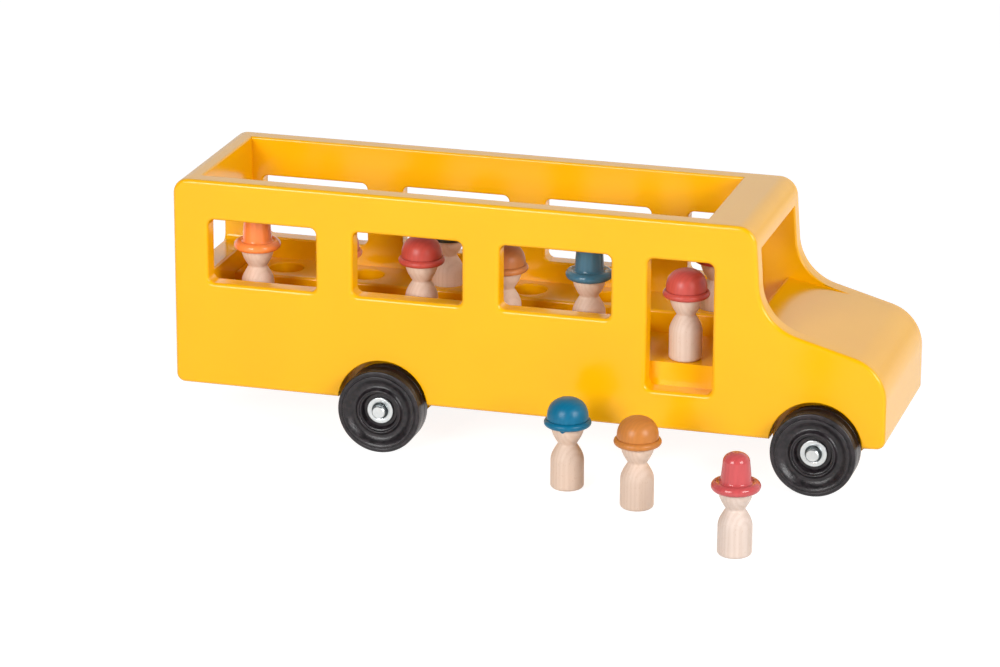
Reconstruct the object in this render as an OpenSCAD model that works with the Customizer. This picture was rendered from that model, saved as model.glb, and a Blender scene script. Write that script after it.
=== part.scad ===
/* [Body] */
// Overall length of the body
body_len = 500; // [480:1:560]
// Overall width across the two side panels
body_w = 129.6; // [122:0.2:140]
// Height of the side panels
body_h = 146.7; // [142:0.1:165]
// Height of the panels' lower edge above the ground
ground_gap = 33.4; // [31:0.1:36]
// Thickness of each side panel
panel_t = 13.8; // [11:0.1:16]
// Thickness of the rear panel
rear_t = 17.2; // [15:0.1:20]
// Thickness of the nose board
nose_t = 12.5; // [11:0.5:14]
// Thickness of the floor board
floor_t = 16.5; // [14:0.5:19]
// Height of the floor board's underside above the panels' lower edge
floor_rise = 26.7; // [25:0.1:30]

/* [Side outline] */
// Radius of the lower corners of the side outline
bottom_r = 6; // [3:0.5:9]
// Radius of the rear upper corner
rear_top_r = 10.5; // [8:0.5:14]
// Radius of the front upper corner
roof_front_r = 13.5; // [8:0.5:18]
// Radius where the windscreen posts sweep into the bonnet
cowl_r = 36; // [24:1:42]
// Radius of the rounded nose
nose_r = 30; // [24:1:36]
// Length of the bonnet from the windscreen foot to the front
bonnet_len = 85.9; // [80:0.1:92]
// How far the windscreen posts lean back over their height
post_lean = 5; // [2:0.1:9]
// Height of the windscreen foot above the panels' lower edge
cowl_h = 80; // [76:0.1:86]
// Height of the nose corner above the panels' lower edge
nose_h = 56; // [50:0.1:62]

/* [Windows and door] */
// Width of the rear post, and of the pillar beside the doorway
rear_post_w = 24.8; // [22:0.1:28]
// Width of the pillars between the windows
pillar_w = 26.3; // [22:0.1:30]
// Width of the doorway
door_w = 45.8; // [42:0.1:50]
// Distance from the doorway to the windscreen foot
door_post_w = 32.9; // [30:0.1:36]
// Height of the window sills above the panels' lower edge
sill_h = 73.8; // [70:0.1:77]
// Height of the windows
window_h = 45.2; // [40:0.1:50]
// Corner radius of the windows and the doorway
window_r = 4.5; // [3:0.5:9]
// Width of the window in the rear panel
rear_window_w = 76; // [60:1:84]

/* [Inside] */
// Width of each bench
bench_w = 40; // [37:0.5:43]
// Thickness of each bench
bench_t = 15.7; // [14:0.1:18]
// Distance from the door-side bench to the doorway
bench_door_gap = 16.4; // [10:0.1:20]
// Distance from a bench end to its first seat
seat_margin = 32; // [28:0.1:36]
// Distance from the driver's seat to the windscreen foot
driver_back = 53; // [48:0.1:58]
// Depth of the seat holes
seat_depth = 11.5; // [9:0.5:13]
// Radial room around a figure in its seat hole
seat_gap = 0.7; // [0.4:0.1:1.2]
// Length of the roof header along the bus
header_len = 35.4; // [30:0.1:40]
// Thickness of the roof header
header_t = 18.4; // [15:0.1:21]
// Distance of the bonnet block's rear face behind the windscreen foot
bonnet_back = 9.2; // [6:0.1:12]
// Drop of the bonnet block's rear edge below the windscreen foot
bonnet_drop = 1.6; // [1:0.1:3]
// Distance ahead of the windscreen foot where the bonnet meets the side outline
bonnet_merge = 36.9; // [30:0.1:44]

/* [Wheels and axles] */
// Diameter of the wheels
wheel_d = 58.5; // [54:0.1:62]
// Width of the wheels
wheel_w = 20.5; // [17:0.5:22]
// How far the wheels stand out from the side panels
wheel_proud = 11.5; // [8:0.5:13]
// Room between a wheel and its arch
arch_gap = 2.7; // [2:0.1:4]
// Distance from the rear of the body to the rear axle
rear_overhang = 150.7; // [140:0.1:160]
// Distance from the front of the body to the front axle
front_overhang = 46.5; // [44:0.5:52]
// Diameter of the axles
axle_d = 9; // [8:0.1:10]
// Height of the axle blocks below the axle
block_drop = 15; // [12:0.5:18]
// Gap between the front axle block and the nose board
block_gap = 1.5; // [0.5:0.1:3]
// Width of the sloping faces under the axle blocks
block_slope = 17; // [12:0.5:20]
// Diameter of the push nut's flange
nut_flange_d = 18.5; // [16:0.1:20]
// Diameter of the pocket round the axle in the push nut's face
nut_pocket_d = 11.6; // [10.6:0.1:13]
// Diameter of the spacer washers
washer_d = 16; // [13:0.5:20]
// Diameter of the block screws
screw_d = 4; // [3:0.1:5]
// Diameter of the block screws' heads
screw_head_d = 8; // [7:0.1:9]

/* [Figures] */
// Diameter of a figure's body
peg_d = 22.6; // [20:0.1:24]
// Height of a figure's shoulder
shoulder_z = 19.5; // [17:0.1:22]
// Height of a figure's neck
neck_z = 31.5; // [29:0.1:34]
// Diameter of a figure's neck
neck_d = 12.8; // [11:0.1:15]
// Diameter of a figure's head under the hat
head_d = 22.4; // [20:0.1:25]
// Height of the lower edge of a hat
hat_z = 43.6; // [41:0.1:45]
// Diameter of a cap over its rolled lip
cap_d = 32; // [30:0.1:34]
// Height of a cap
cap_h = 19.6; // [18:0.1:23]
// Diameter of the brim of a tall hat
brim_d = 32.4; // [30:0.1:34]
// Height of a tall hat
tall_hat_h = 26; // [24:0.1:30]
// Diameter of a tall hat's crown at the brim
crown_d = 20.2; // [18:0.1:22]

/* [Standing places] */
// Distance of the blue-capped figure from the door-side panel
blue_out = 39; // [30:1:60]
// Distance of the orange-capped figure from the door-side panel
orange_out = 62.5; // [40:0.5:90]
// Distance of the bell-hatted figure from the door-side panel
bell_out = 128.5; // [80:0.5:150]
// Distance of the boarding figure in from the door-side panel's face
boarding_in = 25.7; // [24:0.1:32]

/* [Hidden] */
$fn = 96;
arc_steps = 16;

// How far each cut runs past the face that it opens
overrun = 1;
// Radial room of the wheels on their axles, and of an axle in its block
running_gap = 0.05;
// Room at each side of a wheel's hub
hub_play = 0.4;
// Number of windows in each side panel behind the doorway
window_n = 3;
// How much shorter the driver side's front window is, at its front end
window_trim = 1.6;
// Number of passenger seats in each bench
seat_n = 5;

// Ends, heights and widths of the body
rear_x = -body_len / 2;
front_x = body_len / 2;
inner_w = body_w - 2 * panel_t;
top_z = ground_gap + body_h;
floor_z = ground_gap + floor_rise;
floor_top = floor_z + floor_t;
bench_top = floor_top + bench_t;
seat_z = bench_top - seat_depth;
sill_z = ground_gap + sill_h;
cowl_x = front_x - bonnet_len;
cowl_z = ground_gap + cowl_h;
cabin_x = rear_x + rear_t;
nose_back_x = front_x - nose_t;
bonnet_x = cowl_x - bonnet_back;
header_x = cowl_x - post_lean - header_len;

// Places of the doorway, the windows and the seats
door_front_x = cowl_x - door_post_w;
door_x = door_front_x - door_w;
window_w = (door_x - rear_x - 2 * rear_post_w - (window_n - 1) * pillar_w) / window_n;
bench_end_x = door_x - bench_door_gap;
seat_pitch = (bench_end_x - cabin_x - 2 * seat_margin) / (seat_n - 1);
seat_y = inner_w / 2 - bench_w / 2;
seat_r = peg_d / 2 + seat_gap;
driver_x = cowl_x - driver_back;
// Radius and depth of the drill point's mark in a seat
point_r = 1.6;
point_depth = 1.4;
// Distance of the boarding figure behind the middle of the doorway
boarding_shift = 1.5;
boarding_x = door_x + door_w / 2 - boarding_shift;

// Wheels, axles and what holds them
wheel_r = wheel_d / 2;
axle_r = axle_d / 2;
axle_z = wheel_r;
arch_r = wheel_r + arch_gap;
// How far the arches' middles lie above and behind their axles
arch_rise = 1.2;
arch_back = 0.6;
front_axle_x = front_x - front_overhang;
rear_axle_x = rear_x + rear_overhang;
wheel_out_y = body_w / 2 + wheel_proud;
wheel_in_y = wheel_out_y - wheel_w;
block_half = front_overhang - nose_t - block_gap;
block_z = axle_z - block_drop;
// Depth of the hub's face behind the wheel's outer side
hub_recess = 6.2;
// Radius of the round on the wheel's tread edges
tread_edge_r = 1.2;
// Depth of the two grooves round the tread
tread_groove = 0.8;
// Shares of the wheel's radius at which its outer side steps
hub_share = 0.44;
lip_shares = [0.485, 0.54];
dish_share = 0.63;
crest_shares = [0.83, 0.88];
rim_share = 0.9;
// Shares of the wheel's width at the edges of the two tread grooves
groove_shares = [0.30, 0.36, 0.64, 0.70];
// Height of the ring round the hub's recess below the wheel's outer side
lip_sink = 1;
// Depth of the dished band between that ring and the crest
dish_sink = 3.6;
// How far the rim's band lies behind the crest
rim_sink = 0.6;
// Thickness of a push nut's flange
nut_flange_t = 1.5;
// Depth of the pocket in a push nut's face
nut_pocket = 0.8;
// Length of each axle end past the wheel's outer side
axle_proud = 0.3;
hub_out_y = wheel_out_y - hub_recess;
axle_half = wheel_out_y + axle_proud;
// Depth of the screws' counterbores, their grip in the floor, and the height of their heads
screw_sink = 18;
screw_grip = 11;
screw_head_h = 3;
// Radial room around the screws' heads
screw_room = 0.6;
// Places of the screws along and across their block
screw_x_share = 0.36;
screw_y_share = 0.55;

// Figures
// Round at the foot of a figure
foot_r = 2.4;
peg_r = peg_d / 2;
neck_r = neck_d / 2;
head_r = head_d / 2;
cap_r = cap_d / 2;
brim_r = brim_d / 2;
crown_r = crown_d / 2;
// Height of a hat's rolled lip, and of the middle of its edge
lip_h = 5.2;
lip_mid = 2.6;
// The same for the brim of a tall hat
brim_h = 6;
brim_mid = 3.2;
// Half thickness of a cap's lip, and of a tall hat's brim, at the outer edge
lip_edge = 2.4;
brim_edge = 3.2;
// Angles between which the edge of a cap's lip, or of a brim, is rounded
lip_turn = [-60, 80];
brim_turn = [-60, 110];
// Step from a cap's lip in to its dome
dome_step = 2;
// Power of the cap's curve, fuller than a quarter ellipse
dome_power = 2.4;
// Height of the flare from a brim to its crown
flare_h = 1.5;
// How far a crown narrows to its top
crown_taper = 1.2;
// Round at the top of a flat crown
crown_top_r = 2;
// Share of a tall hat's height that its round top takes, and the power of that round
bell_top_share = 0.26;
bell_power = 2.2;

// The middle of the bus lies to one side of the middle of the whole set
bus_y = (bell_out + body_w / 2 + brim_r - axle_half) / 2;
// Places of the standing figures along the bus
blue_x = 42.4;
orange_x = 96.7;
bell_x = 178.6;

// Points on the arc of radius r that rounds the corner at b between a and c
function unit(v) = v / norm(v);
function corner_arc(a, b, c, r) =
    let (
        u = unit(a - b),
        v = unit(c - b),
        half = acos(u * v) / 2,
        middle = b + unit(u + v) * r / sin(half),
        from = b + u * r / tan(half) - middle,
        to = b + v * r / tan(half) - middle,
        sweep = 180 - 2 * half
    )
    [for (i = [0 : arc_steps])
        middle + (from * sin(sweep * (1 - i / arc_steps)) + to * sin(sweep * i / arc_steps)) / sin(sweep)];

// An outline through corners, each rounded by its own radius
function rounded(corners, radii) =
    let (n = len(corners))
    [for (i = [0 : n - 1])
        each corner_arc(corners[(i + n - 1) % n], corners[i], corners[(i + 1) % n], radii[i])];

// Points of a turned profile that leaves [r0, z0] upright and narrows to [r1, z1]
function narrowing(r0, z0, r1, z1) =
    [for (i = [0 : arc_steps]) let (u = i / arc_steps) [r1 + (r0 - r1) * cos(90 * u), z0 + (z1 - z0) * u]];

// Points of a turned profile that widens from [r0, z0] and ends upright at [r1, z1]
function widening(r0, z0, r1, z1) =
    [for (i = [0 : arc_steps]) let (u = i / arc_steps) [r0 + (r1 - r0) * sin(90 * u), z0 + (z1 - z0) * u]];

// Points of a quarter round from [r, z] up to the axis; a power of 2 gives an ellipse
function dome(r, z, h, power) =
    [for (i = [0 : arc_steps])
        let (a = 90 * i / arc_steps)
        i == arc_steps ? [0, z + h] : [r * pow(cos(a), 2 / power), z + h * pow(sin(a), 2 / power)]];

// Points of a round about [r, z] between two angles
function round_edge(r, z, edge_r, a0, a1) =
    [for (i = [0 : arc_steps]) let (a = a0 + (a1 - a0) * i / arc_steps) [r + edge_r * cos(a), z + edge_r * sin(a)]];

// Side outline of the body: corners and their radii
side_corners = [
    [rear_x, ground_gap], [rear_x, top_z], [cowl_x - post_lean, top_z],
    [cowl_x, cowl_z], [front_x, ground_gap + nose_h], [front_x, ground_gap]
];
side_radii = [bottom_r, rear_top_r, roof_front_r, cowl_r, nose_r, bottom_r];

// Moves the bus to its place in the set
module on_bus() {
    translate([0, bus_y, 0]) children();
}

// A plate of the drawn side view, standing between y and y + thick
module plate(y, thick) {
    translate([0, y + thick, 0]) rotate([90, 0, 0]) linear_extrude(thick) children();
}

// A window of the drawn side view with its lower corner at [x, z]
module pane(x, z, w, h) {
    corners = [[x, z], [x + w, z], [x + w, z + h], [x, z + h]];
    polygon(rounded(corners, [for (c = corners) window_r]));
}

module side_view() {
    polygon(rounded(side_corners, side_radii));
}

// Side panel of the drawn side view, with the doorway or driver's window starting at door_z and the front window
// shorter by trim
module side_panel_view(door_z, trim) {
    difference() {
        side_view();
        for (i = [0 : window_n - 1])
            pane(rear_x + rear_post_w + i * (window_w + pillar_w), sill_z, window_w - (i == window_n - 1 ? trim : 0), window_h);
        pane(door_x, door_z, door_w, sill_z + window_h - door_z);
        for (x = [front_axle_x, rear_axle_x])
            translate([x - arch_back, axle_z + arch_rise]) circle(arch_r);
    }
}

// The part of the side view between two places along the bus
module side_view_between(x0, x1, z0, z1) {
    intersection() {
        side_view();
        translate([x0, z0]) square([x1 - x0, z1 - z0]);
    }
}

module door_side_panel() {
    color("gold") on_bus() plate(-body_w / 2, panel_t) side_panel_view(floor_z, 0);
}

module driver_side_panel() {
    color("gold") on_bus() plate(inner_w / 2, panel_t) side_panel_view(sill_z, window_trim);
}

module rear_panel() {
    color("gold") on_bus() difference() {
        plate(-inner_w / 2, inner_w) side_view_between(rear_x, cabin_x, ground_gap, top_z);
        translate([rear_x - overrun, 0, 0])
            rotate([90, 0, 90])
            linear_extrude(rear_t + 2 * overrun)
            pane(-rear_window_w / 2, sill_z, rear_window_w, window_h);
    }
}

module nose_board() {
    color("gold") on_bus()
        plate(-inner_w / 2, inner_w) side_view_between(nose_back_x, front_x, ground_gap, cowl_z);
}

module floor_board() {
    color("gold") on_bus() difference() {
        translate([cabin_x, -inner_w / 2, floor_z]) cube([nose_back_x - cabin_x, inner_w, floor_t]);
        for (x = [front_axle_x, rear_axle_x])
            translate([x, 0, floor_z - overrun]) screw_places() cylinder(d = screw_d, h = screw_grip + overrun);
    }
}

// Blind hole of a seat, with the mark that the drill's centre point leaves in its floor
module seat_hole() {
    cylinder(r = seat_r, h = seat_depth + overrun);
    translate([0, 0, -point_depth]) cylinder(r = point_r, h = point_depth + overrun);
}

// Seats along a bench, with the driver's seat in front where there is one
module seat_holes(driver) {
    for (i = [0 : seat_n - 1])
        translate([cabin_x + seat_margin + i * seat_pitch, 0, seat_z]) seat_hole();
    if (driver)
        translate([driver_x, 0, seat_z]) seat_hole();
}

module bench(end_x, driver) {
    difference() {
        translate([cabin_x, -bench_w / 2, floor_top]) cube([end_x - cabin_x, bench_w, bench_t]);
        seat_holes(driver);
    }
}

module door_side_bench() {
    color("goldenrod") on_bus() translate([0, -seat_y, 0]) bench(bench_end_x, false);
}

module driver_side_bench() {
    color("goldenrod") on_bus() translate([0, seat_y, 0]) bench(bonnet_x, true);
}

module roof_header() {
    color("gold") on_bus()
        plate(-inner_w / 2, inner_w) side_view_between(header_x, front_x, top_z - header_t, top_z);
}

// The bonnet's top slopes down from its rear edge and runs out into the side outline
module bonnet_block() {
    slope = (cowl_h - nose_h) / bonnet_len;
    merge = [cowl_x + bonnet_merge, cowl_z - slope * bonnet_merge];
    color("gold") on_bus() plate(-inner_w / 2, inner_w) intersection() {
        side_view_between(bonnet_x, nose_back_x, floor_top, top_z);
        polygon([
            [bonnet_x, floor_top], [bonnet_x, cowl_z - bonnet_drop], merge,
            [nose_back_x, cowl_z - bonnet_drop], [nose_back_x, floor_top]
        ]);
    }
}

// The screws of one axle block, which stand on either side of its axle
module screw_places() {
    for (s = [-1, 1])
        translate([s * screw_x_share * block_half, s * screw_y_share * inner_w / 2, 0]) children();
}

module axle_block(x) {
    low = block_half - block_slope;
    color("gold") on_bus() translate([x, 0, 0]) difference() {
        plate(-inner_w / 2, inner_w)
            polygon([
                [-low, block_z], [low, block_z], [block_half, block_z + block_slope],
                [block_half, floor_z], [-block_half, floor_z], [-block_half, block_z + block_slope]
            ]);
        translate([0, inner_w / 2 + overrun, axle_z])
            rotate([90, 0, 0])
            cylinder(r = axle_r + running_gap, h = inner_w + 2 * overrun);
        translate([0, 0, block_z - overrun]) screw_places() {
            cylinder(r = screw_head_d / 2 + screw_room, h = screw_sink + overrun);
            cylinder(d = screw_d, h = floor_z - block_z + 2 * overrun);
        }
    }
}

module front_axle_block() {
    axle_block(front_axle_x);
}

module rear_axle_block() {
    axle_block(rear_axle_x);
}

// Two pan-headed wood screws, up through the block into the floor
module block_screws(x) {
    color("silver") on_bus() translate([x, 0, block_z + screw_sink]) screw_places() {
        cylinder(d = screw_d, h = floor_z + screw_grip - block_z - screw_sink);
        translate([0, 0, -screw_head_h]) cylinder(d = screw_head_d, h = screw_head_h);
    }
}

module front_block_screws() {
    block_screws(front_axle_x);
}

module rear_block_screws() {
    block_screws(rear_axle_x);
}

module axle(x) {
    color("silver") on_bus()
        translate([x, axle_half, axle_z]) rotate([90, 0, 0]) cylinder(r = axle_r, h = 2 * axle_half);
}

module front_axle() {
    axle(front_axle_x);
}

module rear_axle() {
    axle(rear_axle_x);
}

// Turns a profile of radius and distance from the bus's middle about an axle, on the side that s gives
module on_axle(x, s) {
    on_bus() translate([x, 0, axle_z]) rotate([-90 * s, 0, 0]) rotate_extrude() children();
}

// Wheel with a hub face set back in a ringed recess, a dished side and a grooved tread
module wheel(x, s) {
    bore = axle_r + running_gap;
    tread = [for (i = [0 : len(groove_shares) - 1])
        let (y = wheel_out_y - groove_shares[i] * wheel_w, r = wheel_r - tread_groove)
        each i % 2 == 0 ? [[wheel_r, y], [r, y]] : [[r, y], [wheel_r, y]]];
    profile = concat(
        [[bore, wheel_in_y], [bore, hub_out_y], [hub_share * wheel_r, hub_out_y]],
        [for (share = lip_shares) [share * wheel_r, wheel_out_y - lip_sink]],
        [[dish_share * wheel_r, wheel_out_y - dish_sink]],
        [for (share = crest_shares) [share * wheel_r, wheel_out_y]],
        [[rim_share * wheel_r, wheel_out_y - rim_sink]],
        round_edge(wheel_r - tread_edge_r, wheel_out_y - rim_sink - tread_edge_r, tread_edge_r, 90, 0),
        tread,
        round_edge(wheel_r - tread_edge_r, wheel_in_y + tread_edge_r, tread_edge_r, 0, -90)
    );
    color("dimgray") on_axle(x, s) polygon(profile);
}

module front_door_side_wheel() {
    wheel(front_axle_x, -1);
}

module front_driver_side_wheel() {
    wheel(front_axle_x, 1);
}

module rear_door_side_wheel() {
    wheel(rear_axle_x, -1);
}

module rear_driver_side_wheel() {
    wheel(rear_axle_x, 1);
}

// Spacer washer that keeps a wheel clear of its axle block
module washer(x, s) {
    low = inner_w / 2;
    color("silver") on_axle(x, s)
        translate([axle_r + running_gap, low])
        square([washer_d / 2 - axle_r - running_gap, wheel_in_y - hub_play - low]);
}

module front_door_side_washer() {
    washer(front_axle_x, -1);
}

module front_driver_side_washer() {
    washer(front_axle_x, 1);
}

module rear_door_side_washer() {
    washer(rear_axle_x, -1);
}

module rear_driver_side_washer() {
    washer(rear_axle_x, 1);
}

// Push nut: a flange against the hub, with a pocket where it grips the axle
module push_nut(x, s) {
    bore = axle_r + running_gap;
    low = hub_out_y + hub_play;
    color("silver") on_axle(x, s) difference() {
        translate([bore, low]) square([nut_flange_d / 2 - bore, nut_flange_t]);
        translate([0, low + nut_flange_t - nut_pocket]) square([nut_pocket_d / 2, nut_pocket + overrun]);
    }
}

module front_door_side_push_nut() {
    push_nut(front_axle_x, -1);
}

module front_driver_side_push_nut() {
    push_nut(front_axle_x, 1);
}

module rear_door_side_push_nut() {
    push_nut(rear_axle_x, -1);
}

module rear_driver_side_push_nut() {
    push_nut(rear_axle_x, 1);
}

// Turned body and head of a figure, from its foot to the lower edge of its hat
body_points = concat(
    [[0, 0]],
    round_edge(peg_r - foot_r, foot_r, foot_r, -90, 0),
    narrowing(peg_r, shoulder_z, neck_r, neck_z),
    widening(neck_r, neck_z, head_r, hat_z),
    [[0, hat_z]]
);

// Underside and rolled lip of a hat of radius r, whose edge is a round of radius edge at height mid, between two angles
function lip_points(r, mid, edge, turn) =
    concat([[0, hat_z], [head_r, hat_z]], round_edge(r - edge, hat_z + mid, edge, turn[0], turn[1]));

cap_dome_z = hat_z + lip_h;
cap_points = concat(
    lip_points(cap_r, lip_mid, lip_edge, lip_turn),
    dome(cap_r - dome_step, cap_dome_z, cap_h - lip_h, dome_power)
);

crown_z = hat_z + brim_h + flare_h;
tall_hat_top = hat_z + tall_hat_h;
top_hat_points = concat(
    lip_points(brim_r, brim_mid, brim_edge, brim_turn),
    [[crown_r, crown_z]],
    round_edge(crown_r - crown_taper - crown_top_r, tall_hat_top - crown_top_r, crown_top_r, 0, 90),
    [[0, tall_hat_top]]
);

bell_top_h = bell_top_share * tall_hat_h;
bell_hat_points = concat(
    lip_points(brim_r, brim_mid, brim_edge, brim_turn),
    [[crown_r, crown_z]],
    dome(crown_r - crown_taper, tall_hat_top - bell_top_h, bell_top_h, bell_power)
);

// A figure turned in one piece with its hat painted, standing at a place on the bus's own axes
module figure(place, hat_color, hat_points) {
    on_bus() translate(place) {
        color("burlywood") rotate_extrude() polygon(body_points);
        color(hat_color) rotate_extrude() polygon(hat_points);
    }
}

function seat_place(i, s) = [cabin_x + seat_margin + i * seat_pitch, s * seat_y, seat_z];

module passenger_orange_top_hat() {
    figure(seat_place(0, -1), "coral", top_hat_points);
}

module passenger_coral_cap() {
    figure(seat_place(1, -1), "lightsalmon", cap_points);
}

module passenger_red_cap() {
    figure(seat_place(2, -1), "indianred", cap_points);
}

module passenger_brown_cap() {
    figure(seat_place(3, -1), "peru", cap_points);
}

module passenger_slate_top_hat() {
    figure(seat_place(4, -1), "slategray", top_hat_points);
}

module passenger_green_cap() {
    figure(seat_place(2, 1), "darkslategray", cap_points);
}

module driver_red_cap() {
    figure([driver_x, seat_y, seat_z], "firebrick", cap_points);
}

module boarding_red_cap() {
    figure([boarding_x, boarding_in - body_w / 2, floor_top], "indianred", cap_points);
}

module standing_blue_cap() {
    figure([blue_x, -body_w / 2 - blue_out, 0], "steelblue", cap_points);
}

module standing_orange_cap() {
    figure([orange_x, -body_w / 2 - orange_out, 0], "sandybrown", cap_points);
}

module standing_red_bell_hat() {
    figure([bell_x, -body_w / 2 - bell_out, 0], "crimson", bell_hat_points);
}

door_side_panel();
driver_side_panel();
rear_panel();
nose_board();
floor_board();
door_side_bench();
driver_side_bench();
roof_header();
bonnet_block();
front_axle_block();
rear_axle_block();
front_block_screws();
rear_block_screws();
front_axle();
rear_axle();
front_door_side_wheel();
front_driver_side_wheel();
rear_door_side_wheel();
rear_driver_side_wheel();
front_door_side_washer();
front_driver_side_washer();
rear_door_side_washer();
rear_driver_side_washer();
front_door_side_push_nut();
front_driver_side_push_nut();
rear_door_side_push_nut();
rear_driver_side_push_nut();
passenger_orange_top_hat();
passenger_coral_cap();
passenger_red_cap();
passenger_brown_cap();
passenger_slate_top_hat();
passenger_green_cap();
driver_red_cap();
boarding_red_cap();
standing_blue_cap();
standing_orange_cap();
standing_red_bell_hat();
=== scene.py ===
import math

import bmesh
import bpy
from mathutils import Matrix, Vector


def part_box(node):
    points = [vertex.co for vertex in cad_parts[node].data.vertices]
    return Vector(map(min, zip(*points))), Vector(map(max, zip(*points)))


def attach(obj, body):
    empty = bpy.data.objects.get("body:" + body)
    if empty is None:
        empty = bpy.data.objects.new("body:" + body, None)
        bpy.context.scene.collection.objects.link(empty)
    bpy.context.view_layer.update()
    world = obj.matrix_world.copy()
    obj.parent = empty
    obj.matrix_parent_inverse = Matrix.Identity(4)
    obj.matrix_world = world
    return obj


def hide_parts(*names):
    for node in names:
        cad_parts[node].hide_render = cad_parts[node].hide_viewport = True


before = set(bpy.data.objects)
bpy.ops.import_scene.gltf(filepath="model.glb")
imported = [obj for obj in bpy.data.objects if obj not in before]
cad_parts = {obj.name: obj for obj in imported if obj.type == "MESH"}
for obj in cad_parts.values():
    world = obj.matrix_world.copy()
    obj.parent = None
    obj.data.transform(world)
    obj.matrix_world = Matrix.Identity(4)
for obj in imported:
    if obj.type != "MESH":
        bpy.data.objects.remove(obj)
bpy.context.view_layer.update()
mm = 0.001
floorLow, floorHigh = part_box("floor_board")
busY = (floorLow.y + floorHigh.y) / 2  # the bus's middle plane
print("frame loaded:", len(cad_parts), "nodes")


def pick(piece):  # make one object the only selected one
    bpy.ops.object.select_all(action="DESELECT")
    piece.select_set(True)
    bpy.context.view_layer.objects.active = piece


def openAll(piece):  # edit mode with everything selected
    pick(piece)
    bpy.ops.object.mode_set(mode="EDIT")
    bpy.ops.mesh.select_all(action="SELECT")


def closeEdit():
    bpy.ops.object.mode_set(mode="OBJECT")


def applyModifier(piece, kind, **settings):
    pick(piece)
    modifier = piece.modifiers.new(kind.lower(), kind)
    for name, value in settings.items():
        setattr(modifier, name, value)
    bpy.ops.object.modifier_apply(modifier=modifier.name)


def newPiece(name, mesh):
    piece = bpy.data.objects.new(name, mesh)
    bpy.context.scene.collection.objects.link(piece)
    return piece


def fitPiece(piece, material, slot, body, *nodes):  # finish, body and the CAD nodes that it stands for
    piece.data.materials.clear()
    piece.data.materials.append(material)
    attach(piece, body)
    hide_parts(*nodes)


# colours and nodes

def linearColour(hexColour):  # sRGB hex to linear RGBA
    parts = [int(hexColour[i:i + 2], 16) / 255 for i in (0, 2, 4)]
    return [c / 12.92 if c <= 0.04045 else ((c + 0.055) / 1.055) ** 2.4 for c in parts] + [1.0]


def perMetre(sizeMm):  # texture scale for a feature of that size
    return 1 / (sizeMm * mm)


def addNode(tree, kind, links=None, **settings):
    node = tree.nodes.new("ShaderNode" + kind)
    for name, value in settings.items():
        setattr(node, name, value)
    for socket, value in (links or {}).items():
        if isinstance(value, bpy.types.NodeSocket):
            tree.links.new(value, node.inputs[socket])
        else:
            node.inputs[socket].default_value = value
    return node


def newFinish(name):
    material = bpy.data.materials.new(name)
    material.use_nodes = True
    tree = material.node_tree
    return material, tree, tree.nodes["Principled BSDF"]


# enamel sprayed on sanded board: an even deep yellow with a soft gloss and a trace of the grain below
enamelLook = dict(colour="f9b600", deep="f7b200", roughness=0.2, sheen=0.42,
                  patch=70, grainLong=140, grainWide=3.5, grainHeight=0.15,  # sizes in mm
                  peel=2.2, peelHeight=0.12)


def yellowEnamel(name, grainAxis):
    look = enamelLook
    material, tree, shader = newFinish(name)
    place = addNode(tree, "TexCoord").outputs["Object"]
    stretch = [perMetre(look["grainWide"])] * 3
    stretch[grainAxis] = perMetre(look["grainLong"])
    along = addNode(tree, "Mapping", {"Vector": place, "Scale": stretch}).outputs["Vector"]
    grain = addNode(tree, "TexNoise", {"Vector": along, "Scale": 1.0, "Detail": 4.0, "Roughness": 0.55})
    patches = addNode(tree, "TexNoise", {"Vector": place, "Scale": perMetre(look["patch"]), "Detail": 2.0})
    shade = addNode(tree, "MapRange", {"Value": patches.outputs["Fac"], "From Min": 0.3, "From Max": 0.7})
    colour = addNode(tree, "Mix", {"Factor": shade.outputs["Result"], "A": linearColour(look["colour"]),
                                   "B": linearColour(look["deep"])}, data_type="RGBA")
    tree.links.new(colour.outputs["Result"], shader.inputs["Base Color"])
    gloss = addNode(tree, "MapRange", {"Value": grain.outputs["Fac"], "To Min": look["roughness"] - 0.01,
                                       "To Max": look["roughness"] + 0.02})
    tree.links.new(gloss.outputs["Result"], shader.inputs["Roughness"])
    peel = addNode(tree, "TexNoise", {"Vector": place, "Scale": perMetre(look["peel"]), "Detail": 1.0})
    grainBump = addNode(tree, "Bump", {"Height": grain.outputs["Fac"], "Strength": 0.03,
                                       "Distance": look["grainHeight"] * mm})
    peelBump = addNode(tree, "Bump", {"Height": peel.outputs["Fac"], "Strength": 0.02,
                                      "Distance": look["peelHeight"] * mm,
                                      "Normal": grainBump.outputs["Normal"]})
    tree.links.new(peelBump.outputs["Normal"], shader.inputs["Normal"])
    shader.inputs["IOR"].default_value = 1.5
    shader.inputs["Specular IOR Level"].default_value = look["sheen"]
    return material


enamelAlong = yellowEnamel("yellowEnamelGrainAlong", 0)
enamelAcross = yellowEnamel("yellowEnamelGrainAcross", 1)

# beech turned and sanded, with the hat dipped in paint: fine upright grain, short brown flecks
beechLook = dict(
    tones=("e0c7b5", "ddc3b0", "d7bca7"), paleTones=("dac7bb", "d6c2b5", "d1bcae"), toneAt=(0.08, 0.35, 0.75),
    fibreWide=0.6, fibreLong=40, fibreHeight=0.2, ringGap=1.3, fleckWide=0.5, fleckLong=1.8,  # sizes in mm
    wobble=0.5, wobbleWide=5, paintFade=0.3,  # the paint's edge, in mm
    ringTurn=6.28, ringStretch=0.06, fleck="bb8f6e", fleckFrom=0.71, fleckFull=0.78, fleckShow=0.3,
    satin=0.36, glossy=0.2, woodRough=0.5, paintDeep=0.86)


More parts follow.
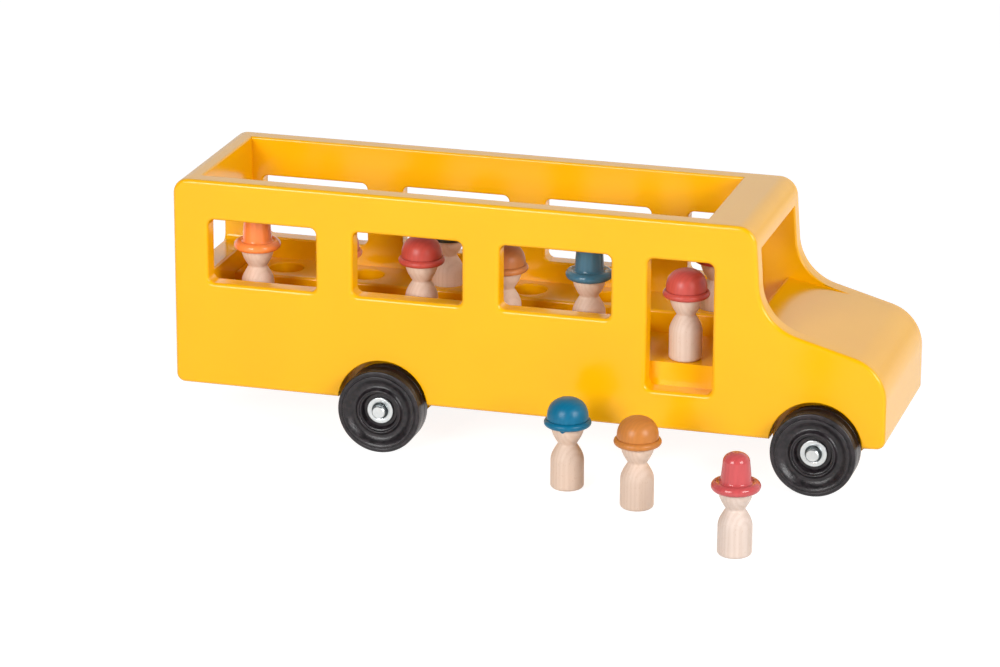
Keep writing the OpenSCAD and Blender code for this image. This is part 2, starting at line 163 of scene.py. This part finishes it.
def paintedBeech(name, hatColour, paintLine, paleness, paintRough):
    look = beechLook
    material, tree, shader = newFinish(name)
    place = addNode(tree, "TexCoord").outputs["Object"]
    fibreScale = [perMetre(look["fibreWide"])] * 2 + [perMetre(look["fibreLong"])]
    fibreMap = addNode(tree, "Mapping", {"Vector": place, "Scale": fibreScale}).outputs["Vector"]
    fibre = addNode(tree, "TexNoise", {"Vector": fibreMap, "Scale": 1.0, "Detail": 3.0, "Roughness": 0.6})
    ringMap = addNode(tree, "Mapping", {"Vector": place, "Scale": (1.0, 1.0, look["ringStretch"]),
                                        "Rotation": (0, 0, 0.6)})
    ringScale = perMetre(look["ringGap"]) / look["ringTurn"]
    ring = addNode(tree, "TexWave", {"Vector": ringMap.outputs["Vector"], "Scale": ringScale,
                                     "Distortion": 4.5, "Detail": 2.0, "Detail Scale": 1.0},
                   bands_direction="X")
    streak = addNode(tree, "Math", {0: fibre.outputs["Fac"], 1: ring.outputs["Fac"]}, operation="MULTIPLY")
    tone = addNode(tree, "ValToRGB", {"Fac": streak.outputs["Value"]})
    ramp = tone.color_ramp
    light, mid, dark = [[p + (q - p) * paleness for p, q in zip(linearColour(warm), linearColour(pale))]
                        for warm, pale in zip(look["tones"], look["paleTones"])]
    lightAt, midAt, darkAt = look["toneAt"]
    ramp.elements[0].color = light
    ramp.elements[0].position = lightAt
    ramp.elements[1].color = dark
    ramp.elements[1].position = darkAt
    ramp.elements.new(midAt).color = mid
    fleckScale = [perMetre(look["fleckWide"])] * 2 + [perMetre(look["fleckLong"])]
    fleckMap = addNode(tree, "Mapping", {"Vector": place, "Scale": fleckScale}).outputs["Vector"]
    fleck = addNode(tree, "TexNoise", {"Vector": fleckMap, "Scale": 1.0, "Detail": 0.0})
    fleckMask = addNode(tree, "MapRange", {"Value": fleck.outputs["Fac"], "From Min": look["fleckFrom"],
                                           "From Max": look["fleckFull"], "To Max": look["fleckShow"]})
    wood = addNode(tree, "Mix", {"Factor": fleckMask.outputs["Result"], "A": tone.outputs["Color"],
                                 "B": linearColour(look["fleck"])}, data_type="RGBA")
    height = addNode(tree, "Attribute", attribute_name="turnHeight").outputs["Fac"]
    wobble = addNode(tree, "TexNoise", {"Vector": place, "Scale": perMetre(look["wobbleWide"]),
                                        "Detail": 2.0})
    edge = addNode(tree, "Math", {0: wobble.outputs["Fac"], 1: look["wobble"], 2: height},
                   operation="MULTIPLY_ADD")
    mask = addNode(tree, "MapRange", {"Value": edge.outputs["Value"], "From Min": paintLine,
                                      "From Max": paintLine + look["paintFade"]})
    deep = [c * look["paintDeep"] for c in linearColour(hatColour)[:3]] + [1.0]
    paint = addNode(tree, "Mix", {"Factor": streak.outputs["Value"], "A": linearColour(hatColour), "B": deep},
                    data_type="RGBA")
    colour = addNode(tree, "Mix", {"Factor": mask.outputs["Result"], "A": wood.outputs["Result"],
                                   "B": paint.outputs["Result"]}, data_type="RGBA")
    tree.links.new(colour.outputs["Result"], shader.inputs["Base Color"])
    gloss = addNode(tree, "MapRange", {"Value": mask.outputs["Result"], "To Min": look["woodRough"],
                                       "To Max": paintRough})
    tree.links.new(gloss.outputs["Result"], shader.inputs["Roughness"])
    bump = addNode(tree, "Bump", {"Height": fibre.outputs["Fac"], "Strength": 0.07,
                                  "Distance": look["fibreHeight"] * mm})
    tree.links.new(bump.outputs["Normal"], shader.inputs["Normal"])
    shader.inputs["IOR"].default_value = 1.48
    shader.inputs["Specular IOR Level"].default_value = 0.5 if paintRough == look["glossy"] else 0.36
    return material


# moulded polypropylene, satin black: broad soft sheen, a little uneven from handling
plasticLook = dict(colour="0f0c0f", dust="2a2226", cloud=3.5, grit=1.1, gritHeight=0.3, roughness=0.33)


def blackPlastic():
    look = plasticLook
    material, tree, shader = newFinish("blackMouldedPolypropylene")
    place = addNode(tree, "TexCoord").outputs["Object"]
    cloud = addNode(tree, "TexNoise", {"Vector": place, "Scale": perMetre(look["cloud"]), "Detail": 4.0})
    haze = addNode(tree, "MapRange", {"Value": cloud.outputs["Fac"], "From Min": 0.38, "From Max": 0.68})
    colour = addNode(tree, "Mix", {"Factor": haze.outputs["Result"], "A": linearColour(look["colour"]),
                                   "B": linearColour(look["dust"])}, data_type="RGBA")
    tree.links.new(colour.outputs["Result"], shader.inputs["Base Color"])
    gloss = addNode(tree, "MapRange", {"Value": cloud.outputs["Fac"], "To Min": look["roughness"] - 0.06,
                                       "To Max": look["roughness"] + 0.1})
    tree.links.new(gloss.outputs["Result"], shader.inputs["Roughness"])
    grit = addNode(tree, "TexNoise", {"Vector": place, "Scale": perMetre(look["grit"]), "Detail": 2.0})
    bump = addNode(tree, "Bump", {"Height": grit.outputs["Fac"], "Strength": 0.45,
                                  "Distance": look["gritHeight"] * mm})
    tree.links.new(bump.outputs["Normal"], shader.inputs["Normal"])
    shader.inputs["IOR"].default_value = 1.49
    return material


# bright zinc plate on pressed steel: pale grey metal with fine uneven lustre, with shade painted dark into
# the nut's pocket
zincLook = dict(colour="e2e5e5", dull="c4c9ca", pocketShade="565b5d", spangle=2.5, roughness=0.32)


def zincSteel():
    look = zincLook
    material, tree, shader = newFinish("zincPlatedSteel")
    place = addNode(tree, "TexCoord").outputs["Object"]
    spangle = addNode(tree, "TexNoise", {"Vector": place, "Scale": perMetre(look["spangle"]), "Detail": 3.0})
    colour = addNode(tree, "Mix", {"Factor": spangle.outputs["Fac"], "A": linearColour(look["colour"]),
                                   "B": linearColour(look["dull"])}, data_type="RGBA")
    # the attribute marks the nut's pocket, where shade is painted in as a darker grey
    pocketShade = addNode(tree, "Attribute", attribute_name="pocketShade").outputs["Fac"]
    pocketShaded = addNode(tree, "Mix", {"Factor": pocketShade, "A": colour.outputs["Result"],
                                   "B": linearColour(look["pocketShade"])}, data_type="RGBA")
    tree.links.new(pocketShaded.outputs["Result"], shader.inputs["Base Color"])
    gloss = addNode(tree, "MapRange", {"Value": spangle.outputs["Fac"], "To Min": look["roughness"] - 0.05,
                                       "To Max": look["roughness"] + 0.1})
    tree.links.new(gloss.outputs["Result"], shader.inputs["Roughness"])
    shader.inputs["Metallic"].default_value = 1.0
    return material


plastic = blackPlastic()
zinc = zincSteel()
print("finishes made:", len(bpy.data.materials))

# painted boards: the CAD boards with the edges that a sander reaches rounded over

rounding = dict(outside=2.6, inside=1.5, arch=0.8, rim=1.5, bench=2.0, seat=1.0, bonnet=3.4, header=2.0,
                block=1.0)  # radius of each round in mm
edgePlaces = dict(post=20, bonnetFoot=10, fade=22, taper=39, endPost=15, rail=15, rearRail=18, rearPost=5,
                  blockLong=40)  # in mm from the board that each edge belongs to
railLow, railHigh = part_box("rear_panel")
headerLow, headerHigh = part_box("roof_header")
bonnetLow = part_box("bonnet_block")[0]
sideLow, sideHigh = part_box("door_side_panel")
panelThick = sideHigh.y - sideLow.y
outsideY = busY - sideLow.y  # half width over the panels
touch = 0.05 * mm  # how near an edge lies to the face that it belongs to
weld = 0.01 * mm  # corners nearer than this are one
sharpPast = 35  # degrees past which an edge is a corner
levelWithin = 40  # degrees within which two faces shade as one


def boardFrom(node, cuts=()):  # a merged copy of a CAD board, cut across at the given planes
    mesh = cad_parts[node].data.copy()
    board = newPiece(node + "Painted", mesh)
    openAll(board)
    bpy.ops.mesh.customdata_custom_splitnormals_clear()
    bpy.ops.mesh.remove_doubles(threshold=weld)
    bpy.ops.mesh.dissolve_limited(angle_limit=math.radians(0.5))
    for point, normal in cuts:
        bpy.ops.mesh.select_all(action="SELECT")
        bpy.ops.mesh.bisect(plane_co=point, plane_no=normal)
    closeEdit()
    return board


def roundEdges(board, rule, segments=4):  # rule gives the round in mm at an edge's middle
    widest = max(rounding.values())  # the bevel width that a weight of 1 stands for
    shape = bmesh.new()
    shape.from_mesh(board.data)
    weight = shape.edges.layers.float.new("bevel_weight_edge")
    for edge in shape.edges:
        if len(edge.link_faces) == 2 and edge.calc_face_angle() > math.radians(sharpPast):
            first, second = edge.verts
            edge[weight] = rule((first.co + second.co) / 2, second.co - first.co) / widest
    shape.to_mesh(board.data)
    shape.free()
    applyModifier(board, "BEVEL", width=widest * mm, segments=segments, limit_method="WEIGHT",
                  use_clamp_overlap=False, loop_slide=False)
    pick(board)
    bpy.ops.object.shade_smooth()
    board.data.normals_split_custom_set(cornerNormals(board.data))


def cornerNormals(mesh):  # each corner leans only on faces nearly level with its own, so flats stay flat
    around = [[] for vert in mesh.vertices]
    for face in mesh.polygons:
        for index in face.vertices:
            around[index].append(face)
    level = math.cos(math.radians(levelWithin))
    normals = []
    for face in mesh.polygons:
        for index in face.vertices:
            lean = Vector()
            for other in around[index]:
                if other.normal.dot(face.normal) > level:
                    lean += other.normal * other.area
            normals.append(lean.normalized())
    return normals


def axleAt(name):  # middle of an axle in the side view
    low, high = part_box(name)
    return Vector(((low.x + high.x) / 2, (low.z + high.z) / 2))


arch = dict(radius=31.95, slack=0.5, back=0.6, rise=1.2)  # in mm, cut about a point a little off the axle
archOffset = Vector((-arch["back"], arch["rise"])) * mm
archMiddles = [axleAt(name) + archOffset for name in ("front_axle", "rear_axle")]
taperEnd = bonnetLow.x + edgePlaces["taper"] * mm  # where the bonnet's top closes on the panels' edges


def nearArch(middle):
    reach = min((Vector((middle.x, middle.z)) - centre).length for centre in archMiddles)
    return reach < (arch["radius"] + arch["slack"]) * mm


def panelRule(middle, along):
    side = abs(middle.y - busY)
    if side > outsideY - touch:
        return rounding["arch"] if nearArch(middle) else rounding["outside"]
    if side > outsideY - panelThick + touch or nearArch(middle):
        return 0
    if middle.z > sideHigh.z - touch:  # top edge, free between the rear panel and the header
        return rounding["rim"] if railHigh.x < middle.x < headerLow.x else 0
    if middle.x > headerHigh.x - edgePlaces["post"] * mm:  # windscreen post, running out on the bonnet
        free = bonnetLow.z + edgePlaces["bonnetFoot"] * mm < middle.z < headerLow.z and middle.x < taperEnd
        return rounding["inside"] * min(1, (taperEnd - middle.x) / (edgePlaces["fade"] * mm)) if free else 0
    framed = floorHigh.z < middle.z < sideHigh.z - edgePlaces["rail"] * mm
    return rounding["inside"] if framed and middle.x > sideLow.x + edgePlaces["endPost"] * mm else 0


panelCuts = [((railHigh.x, 0, 0), (1, 0, 0)), ((headerLow.x, 0, 0), (1, 0, 0)),
             ((0, 0, headerLow.z), (0, 0, 1)), ((taperEnd, 0, 0), (1, 0, 0))]  # where a round starts or ends
for node in ("door_side_panel", "driver_side_panel"):
    panel = boardFrom(node, panelCuts)
    roundEdges(panel, panelRule)
    fitPiece(panel, enamelAlong, "yellow_enamelled_wood", "bus", node)


def rearRule(middle, along):
    inside = abs(middle.x - railHigh.x) < touch
    if middle.z > railHigh.z - touch:
        return rounding["rim"] if inside else 0
    post = outsideY - panelThick - edgePlaces["rearPost"] * mm
    framed = abs(middle.y - busY) < post and floorHigh.z < middle.z < railHigh.z - edgePlaces["rearRail"] * mm
    if framed and inside:
        return rounding["inside"]
    return rounding["outside"] if framed and abs(middle.x - railLow.x) < touch else 0


rear = boardFrom("rear_panel")
roundEdges(rear, rearRule)
fitPiece(rear, enamelAcross, "yellow_enamelled_wood", "bus", "rear_panel")


def headerRule(middle, along):
    if abs(along.y) < abs(along.x) + abs(along.z):
        return 0
    if middle.z < headerLow.z + touch:
        return rounding["header"]
    return rounding["rim"] if middle.x < headerLow.x + touch else 0


header = boardFrom("roof_header")
roundEdges(header, headerRule)
fitPiece(header, enamelAcross, "yellow_enamelled_wood", "bus", "roof_header")


def bonnetRule(middle, along):
    upper = middle.x < bonnetLow.x + touch and middle.z > bonnetLow.z + touch
    return rounding["bonnet"] if upper and abs(along.y) > abs(along.z) else 0


bonnet = boardFrom("bonnet_block")
roundEdges(bonnet, bonnetRule)
fitPiece(bonnet, enamelAcross, "yellow_enamelled_wood", "bus", "bonnet_block")

for node in ("door_side_bench", "driver_side_bench"):
    benchLow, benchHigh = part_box(node)

    def benchRule(middle, along):
        if middle.z < benchHigh.z - touch:
            return 0
        rimmed = min(middle.y - benchLow.y, benchHigh.y - middle.y) > touch and \
            min(middle.x - benchLow.x, benchHigh.x - middle.x) > touch
        if rimmed:
            return rounding["seat"]
        aisle = abs(middle.y - busY) < outsideY / 2
        return rounding["bench"] if aisle or middle.x > benchHigh.x - touch else 0

    bench = boardFrom(node)
    roundEdges(bench, benchRule, 3)
    fitPiece(bench, enamelAlong, "yellow_enamelled_wood", "bus", node)

for node in ("front_axle_block", "rear_axle_block"):
    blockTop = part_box(node)[1].z

    def blockRule(middle, along):
        lengthways = abs(along.y) > edgePlaces["blockLong"] * mm
        return rounding["block"] if lengthways and middle.z < blockTop - touch else 0

    block = boardFrom(node)
    roundEdges(block, blockRule, 3)
    fitPiece(block, enamelAcross, "yellow_enamelled_wood", "bus", node)

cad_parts["floor_board"].data.materials.clear()
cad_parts["floor_board"].data.materials.append(enamelAlong)
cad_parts["nose_board"].data.materials.clear()
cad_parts["nose_board"].data.materials.append(enamelAcross)
print("boards painted")

# turned pieces


def turned(name, profile, place, tilt=Matrix(), steps=96, ring=False):  # profile of (radius, height) in mm
    mesh = bpy.data.meshes.new(name)
    count = len(profile)
    edges = [(i, (i + 1) % count) for i in range(count if ring else count - 1)]
    mesh.from_pydata([(r * mm, 0, h * mm) for r, h in profile], edges, [])
    piece = newPiece(name, mesh)
    openAll(piece)
    bpy.ops.mesh.spin(steps=steps, angle=2 * math.pi, center=(0, 0, 0), axis=(0, 0, 1))
    bpy.ops.mesh.select_all(action="SELECT")
    bpy.ops.mesh.remove_doubles(threshold=0.002 * mm)
    bpy.ops.mesh.normals_make_consistent(inside=False)
    closeEdit()
    heights = mesh.attributes.new("turnHeight", "FLOAT", "POINT")
    heights.data.foreach_set("value", [v.co.z / mm for v in mesh.vertices])
    mesh.transform(Matrix.Translation(place) @ tilt)
    pick(piece)
    bpy.ops.object.shade_smooth_by_angle(angle=math.radians(38))
    return piece


def arc(r, h, radius, start, end, steps=8):  # round about (r, h) between two angles in degrees
    angles = [math.radians(start + (end - start) * i / steps) for i in range(steps + 1)]
    return [(r + radius * math.cos(a), h + radius * math.sin(a)) for a in angles]


def sweep(r0, h0, r1, h1, bulge, steps=14):  # bulge 1 leaves upright and narrows, -1 widens and ends upright
    points = []
    for i in range(steps + 1):
        u = i / steps
        share = 1 - math.cos(math.pi / 2 * u) if bulge > 0 else math.sin(math.pi / 2 * u)
        points.append((r0 + (r1 - r0) * share, h0 + (h1 - h0) * u))
    return points


# peg figures: one turning each, all on the same pattern below the hat
pegShape = dict(
    body=11.3, foot=2.4, shoulder=19.5, neck=6.4, neckAt=31.5, waist=0.3, head=11.2, hatAt=43.6,
    paintOver=0.2, cap=16.0, capEdge=2.4, lipAt=46.2, dome=14.0, domeAt=49.0, capTop=63.2, domePower=2.4,
    groove=((13.9, 48.35), (13.62, 48.25), (13.6, 48.6)),  # radius and height, where lip meets dome
    brim=16.2, brimEdge=3.2, brimAt=46.8, crownTop=8.9, tallTop=69.6, flatRound=2.0, bellRound=6.8,
    bellPower=2.2,
    crownFoot=((11.1, 49.5), (10.6, 49.75), (10.3, 50.2), (10.15, 50.7), (10.05, 51.4)))  # brim into crown
paintLine = pegShape["hatAt"] - pegShape["paintOver"]


def pegBody():
    s = pegShape
    return ([(0, 0)] + arc(s["body"] - s["foot"], s["foot"], s["foot"], -90, 0)
            + sweep(s["body"], s["shoulder"], s["neck"], s["neckAt"] - s["waist"], 1)
            + sweep(s["neck"], s["neckAt"] + s["waist"], s["head"], s["hatAt"], -1))


def rounded(r, low, rise, power, steps=20):  # upright at its foot, level at its top
    angles = [math.pi / 2 * i / steps for i in range(steps)]
    points = [(r * math.cos(a) ** (2 / power), low + rise * math.sin(a) ** (2 / power)) for a in angles]
    return points + [(0, low + rise)]


def capHat():
    s = pegShape
    lip = arc(s["cap"] - s["capEdge"], s["lipAt"], s["capEdge"], -62, 78, 12)
    dome = rounded(s["dome"], s["domeAt"], s["capTop"] - s["domeAt"], s["domePower"])
    return lip + list(s["groove"]) + dome


def brimmed():
    s = pegShape
    brim = arc(s["brim"] - s["brimEdge"], s["brimAt"], s["brimEdge"], -62, 116, 16)
    return brim + list(s["crownFoot"])


def topHat():
    s = pegShape
    f = s["flatRound"]
    return brimmed() + arc(s["crownTop"] - f, s["tallTop"] - f, f, 0, 90) + [(0, s["tallTop"])]


def bellHat():
    s = pegShape
    b = s["bellRound"]
    return brimmed() + rounded(s["crownTop"], s["tallTop"] - b, b, s["bellPower"], 16)


drip = dict(angle=-1.62, wide=0.17, drop=2.0)  # run of paint below the blue cap, in radians and mm


def dripPaint(figure, place):
    for vert, height in zip(figure.data.vertices, figure.data.attributes["turnHeight"].data):
        turn = math.atan2(vert.co.y - place.y, vert.co.x - place.x) - drip["angle"]
        height.value += drip["drop"] * math.exp(-(turn / drip["wide"]) ** 2)


figures = dict(
    passenger_orange_top_hat=(topHat, "fa8e48", "figure_orange_hat"),
    passenger_coral_cap=(capHat, "e8835a", "figure_coral_hat"),
    passenger_red_cap=(capHat, "c14c42", "figure_red_hat"),
    passenger_brown_cap=(capHat, "c97f48", "figure_brown_hat"),
    passenger_slate_top_hat=(topHat, "3f6e84", "figure_slate_hat"),
    passenger_green_cap=(capHat, "2e3b34", "figure_green_hat"),
    driver_red_cap=(capHat, "b0382e", "figure_dark_red_hat"),
    boarding_red_cap=(capHat, "c35149", "figure_red_hat"),
    standing_blue_cap=(capHat, "006a8e", "figure_blue_hat"),
    standing_orange_cap=(capHat, "c77d39", "figure_orange_hat"),
    standing_red_bell_hat=(bellHat, "c75052", "figure_red_hat"))
for node, (hat, hatColour, slot) in figures.items():
    low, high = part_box(node)
    place = Vector(((low.x + high.x) / 2, (low.y + high.y) / 2, low.z))
    figure = turned(node + "Turned", pegBody() + hat(), place)
    if node == "standing_blue_cap":
        dripPaint(figure, place)
    # painted light: the boarding figure's wood is made paler to cancel the yellow light bounced onto it in
    # the doorway; the bell-hat figure gets the palest wood
    paleness = dict(standing_red_bell_hat=1.0, boarding_red_cap=0.6).get(node, 0)
    paintRough = beechLook["satin" if hat == capHat else "glossy"]
    finish = paintedBeech("beech_" + node, hatColour, paintLine, paleness, paintRough)
    fitPiece(figure, finish, slot, node, node)
print("figures turned:", len(figures))

# wheels: one moulding each, with a ringed hub recess, a dished side and a grooved tread
axleBore = 4.55  # radius of every hole on an axle, in mm
wheelShape = dict(
    radius=29.25, width=20.5, edge=1.2, rimDrop=0.6, recess=6.2, hub=11.6, hubCorner=0.6,
    hubWall=((13.0, 2.6), (13.3, 2.4), (14.0, 2.3)),  # radius, and depth below the face
    lip=14.9, lipSink=1.7, lipRound=0.75,
    dish=((16.0, 2.1), (16.5, 2.9), (17.3, 3.4), (18.4, 3.6), (19.4, 3.45), (20.6, 2.9), (21.8, 2.0),
          (22.8, 1.15), (23.7, 0.5), (24.4, 0.15)),
    crest=25.0, crestRound=0.6, rimLine=((25.75, 0.35), (26.2, 0.4), (26.5, 0.1), (26.9, 0.0)),
    grooves=((0.12, 0.16), (0.22, 0.26), (0.62, 0.66)),  # start and end, as shares of the width
    grooveSide=((0.2, 0.12), (0.4, 0.3)),  # depth, and run from the groove's edge
    hollow=((24.5, 0.0), (23.8, 0.5), (23.4, 2.5), (10.4, 2.5), (9.8, 2.1), (9.5, 0.2), (9.2, 0.0)))


def wheelProfile():
    s = wheelShape
    top, out, edge = s["width"], s["radius"], s["edge"]
    rim = top - s["rimDrop"]
    seat = top - s["recess"]
    corner = s["hubCorner"]
    side = [(axleBore, 0.0), (axleBore, seat), (s["hub"], seat), (s["hub"] + corner, seat + corner)]
    side += [(r, top - sink) for r, sink in s["hubWall"]]
    side += arc(s["lip"], top - s["lipSink"], s["lipRound"], 170, 20, 8)
    side += [(r, top - sink) for r, sink in s["dish"]]
    side += arc(s["crest"], top - s["crestRound"], s["crestRound"], 90, 0, 6)
    side += [(r, rim - sink) for r, sink in s["rimLine"]] + arc(out - edge, rim - edge, edge, 90, 0, 6)
    tread = []
    for start, end in s["grooves"]:
        high = top * (1 - start)
        low = top * (1 - end)
        tread += [(out, high)] + [(out - deep, high - run) for deep, run in s["grooveSide"]]
        tread += [(out - deep, low + run) for deep, run in reversed(s["grooveSide"])] + [(out, low)]
    back = arc(out - edge, edge, edge, 0, -90, 6) + list(s["hollow"])
    return side + tread + back


nutShape = dict(
    # the reach below is how far from the axle shade is painted into the nut's pocket, in mm
    flange=9.25, thick=1.5, baseRound=0.4, topRound=0.5, pocketShadeReach=5.85,
    pocket=((5.95, 1.5), (5.8, 1.4), (5.75, 0.6), (5.6, 0.5), (4.85, 0.4), (axleBore, 0.3), (axleBore, 0.0)))


def nutProfile():
    s = nutShape
    base = arc(s["flange"] - s["baseRound"], s["baseRound"], s["baseRound"], -90, 0, 4)
    top = arc(s["flange"] - s["topRound"], s["thick"] - s["topRound"], s["topRound"], 0, 90, 4)
    return base + top + list(s["pocket"])


def shadePocket(nut, place):  # painted shade where the nut's teeth meet the axle
    shadeWeights = nut.data.attributes.new("pocketShade", "FLOAT", "POINT")
    for vert, shadeWeight in zip(nut.data.vertices, shadeWeights.data):
        away = math.hypot(vert.co.x - place.x, vert.co.z - place.z)
        shadeWeight.value = 1.0 if away < nutShape["pocketShadeReach"] * mm else 0.0


washerShape = dict(lip=0.1, edge=0.25)  # chamfers at the hole and outside


def washerProfile(reach, thick):
    lip, edge = washerShape["lip"], washerShape["edge"]
    return [(axleBore, lip), (axleBore + lip, 0.0), (reach - edge, 0.0), (reach, edge), (reach, thick - edge),
            (reach - edge, thick), (axleBore + lip, thick), (axleBore, thick - lip)]


axleShape = dict(chamfer=0.6, crown=0.05)  # the rod's cut ends


def rodProfile(reach, length):
    chamfer, crown = axleShape["chamfer"], axleShape["crown"]
    return [(0, 0), (reach - chamfer, crown), (reach, chamfer), (reach, length - chamfer),
            (reach - chamfer, length - crown), (0, length)]


outward = dict(door=Matrix.Rotation(math.pi / 2, 4, "X"), driver=Matrix.Rotation(-math.pi / 2, 4, "X"))
for end in ("front", "rear"):
    for side, tilt in outward.items():
        name = f"{end}_{side}_side_"
        low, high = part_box(name + "wheel")
        middle = (low + high) / 2
        back = Vector((middle.x, high.y if side == "door" else low.y, middle.z))
        wheel = turned(name + "wheelMoulded", wheelProfile(), back, tilt, 128, True)
        fitPiece(wheel, plastic, "black_moulded_plastic", name + "wheel", name + "wheel")
        low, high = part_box(name + "push_nut")
        back.y = high.y if side == "door" else low.y
        nut = turned(name + "push_nutPressed", nutProfile(), back, tilt, 64, True)
        shadePocket(nut, back)
        fitPiece(nut, zinc, "zinc_plated_steel", "bus", name + "push_nut")
        low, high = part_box(name + "washer")
        back.y = high.y if side == "door" else low.y
        reach = (high.x - low.x) / 2 / mm
        washerOutline = washerProfile(reach, (high.y - low.y) / mm)
        washer = turned(name + "washerStamped", washerOutline, back, tilt, 64, True)
        fitPiece(washer, zinc, "zinc_plated_steel", "bus", name + "washer")
    low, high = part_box(end + "_axle")
    length = (high.y - low.y) / mm
    reach = (high.x - low.x) / 2 / mm
    foot = Vector(((low.x + high.x) / 2, low.y, (low.z + high.z) / 2))
    axle = turned(end + "_axleRod", rodProfile(reach, length), foot, outward["driver"], 48)
    fitPiece(axle, zinc, "zinc_plated_steel", "bus", end + "_axle")
print("wheels and axles turned")

for node in ("front_block_screws", "rear_block_screws"):
    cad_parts[node].data.materials.clear()
    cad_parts[node].data.materials.append(zinc)

# camera at the photograph's place, worked out from the bus's straight edges
photoView = dict(focalPixels=4326.88, framePixels=1000, sensor=36.0, yaw=16.0485, pitch=18.1834, roll=0.2475,
                 station=(752.83, -2737.87, 1004.09))  # station in mm from the bus's middle, on the ground


def placeCamera():
    v = photoView
    yaw, pitch, roll = (math.radians(v[k]) for k in ("yaw", "pitch", "roll"))
    forward = Vector((-math.sin(yaw) * math.cos(pitch), math.cos(yaw) * math.cos(pitch), -math.sin(pitch)))
    level = Vector((math.cos(yaw), math.sin(yaw), 0))
    rise = level.cross(forward)
    right = math.cos(roll) * level + math.sin(roll) * rise
    upward = -math.sin(roll) * level + math.cos(roll) * rise
    camera = bpy.data.objects.new("photoCamera", bpy.data.cameras.new("photoCamera"))
    bpy.context.scene.collection.objects.link(camera)
    camera.data.sensor_width = v["sensor"]
    camera.data.lens = v["focalPixels"] / v["framePixels"] * v["sensor"]
    turn = Matrix((right, upward, -forward)).transposed().to_4x4()
    station = Vector(v["station"]) * mm + Vector((0, busY, 0))
    camera.matrix_world = Matrix.Translation(station) @ turn
    camera.data.clip_end = 50
    bpy.context.scene.camera = camera


placeCamera()

# white studio: a pale floor that keeps the shadow, a white surround and two soft lamps
studio = dict(floorSize=14.0, floorSeen=0.88, floorTone=0.34, floorBounce=0.8)


def seenDirectly(tree):  # 1 for what the camera sees, straight or mirrored
    light = addNode(tree, "LightPath")
    either = addNode(tree, "Math", {0: light.outputs["Is Camera Ray"], 1: light.outputs["Is Glossy Ray"]},
                     operation="MAXIMUM")
    return addNode(tree, "Math", {0: either.outputs["Value"], 1: light.outputs["Is Transmission Ray"]},
                   operation="MAXIMUM").outputs["Value"]


bpy.ops.object.select_all(action="DESELECT")
bpy.ops.mesh.primitive_plane_add(size=studio["floorSize"])
floor = bpy.context.active_object
floor.name = "studioFloor"
material, tree, shader = newFinish("paleStudioFloor")
tree.nodes.remove(shader)
seen = seenDirectly(tree)
tone = addNode(tree, "MapRange", {"Value": seen, "To Min": studio["floorBounce"],
                                  "To Max": studio["floorTone"]})
shade = addNode(tree, "BsdfDiffuse", {"Color": tone.outputs["Result"]})
shine = addNode(tree, "MapRange", {"Value": seen, "To Max": studio["floorSeen"]})
glow = addNode(tree, "Emission", {"Color": (1, 1, 1, 1), "Strength": shine.outputs["Result"]})
both = addNode(tree, "AddShader", {0: shade.outputs[0], 1: glow.outputs[0]})
tree.links.new(both.outputs[0], tree.nodes["Material Output"].inputs["Surface"])
floor.data.materials.append(material)

# the surround mirrored in the paint, brighter behind the bus, by height above the horizon
surround = dict(heights=((0.07, 0.26), (0.19, 0.36), (0.4, 0.4), (0.75, 0.14)), frontAt=-0.25, backAt=0.45,
                front=0.2, brightest=3.4, ambient=0.18, glow=2.4, glowFrom=0.1, glowFull=0.5, glowLow=0.1,
                glowTop=0.3)
world = bpy.data.worlds.new("whiteSurround")
bpy.context.scene.world = world
world.use_nodes = True
tree = world.node_tree
direction = addNode(tree, "SeparateXYZ", {"Vector": addNode(tree, "TexCoord").outputs["Generated"]})
sweepUp = addNode(tree, "ValToRGB", {"Fac": direction.outputs["Z"]})
ramp = sweepUp.color_ramp
ramp.elements[0].position, ramp.elements[1].position = surround["heights"][0][0], surround["heights"][-1][0]
for position, share in surround["heights"]:
    stop = min(ramp.elements, key=lambda element: abs(element.position - position))
    if abs(stop.position - position) > 0.01:
        stop = ramp.elements.new(position)
    stop.color = (share, share, share, 1)
behind = addNode(tree, "MapRange", {"Value": direction.outputs["Y"], "From Min": surround["frontAt"],
                                    "From Max": surround["backAt"], "To Min": surround["front"],
                                    "To Max": surround["brightest"]})
mirrored = addNode(tree, "Math", {0: sweepUp.outputs["Color"], 1: behind.outputs["Result"]},
                   operation="MULTIPLY")
nearFloor = addNode(tree, "MapRange", {"Value": direction.outputs["Z"], "From Min": surround["glowLow"],
                                       "From Max": surround["glowTop"], "To Min": 1.0, "To Max": 0.0})
fromBack = addNode(tree, "MapRange", {"Value": direction.outputs["Y"], "From Min": surround["glowFrom"],
                                      "From Max": surround["glowFull"], "To Max": surround["glow"]})
soft = addNode(tree, "Math", {0: nearFloor.outputs["Result"], 1: fromBack.outputs["Result"],
                              2: surround["ambient"]}, operation="MULTIPLY_ADD")  # lights the bus's far side
strength = addNode(tree, "Mix", {"Factor": seenDirectly(tree), "A": soft.outputs["Value"],
                                 "B": mirrored.outputs["Value"]})
background = tree.nodes["Background"]
background.inputs["Color"].default_value = (1, 1, 1, 1)
tree.links.new(strength.outputs["Result"], background.inputs["Strength"])

lamps = dict(
    leftSoftbox=dict(place=(-0.85, -2.41, 1.0), aim=(0.0, 0.06, 0.1), size=(1.1, 1.1), power=50),
    rightSoftbox=dict(place=(2.2, -1.3, 1.1), aim=(0.0, 0.06, 0.1), size=(1.1, 1.1), power=50))
for name, lamp in lamps.items():
    data = bpy.data.lights.new(name, "AREA")
    data.shape = "RECTANGLE"
    data.size, data.size_y = lamp["size"]
    data.energy = lamp["power"]
    light = bpy.data.objects.new(name, data)
    bpy.context.scene.collection.objects.link(light)
    light.location = lamp["place"]
    light.rotation_euler = (Vector(lamp["aim"]) - light.location).to_track_quat("-Z", "Y").to_euler()
bpy.context.scene.view_settings.view_transform = "Standard"
print("studio ready")
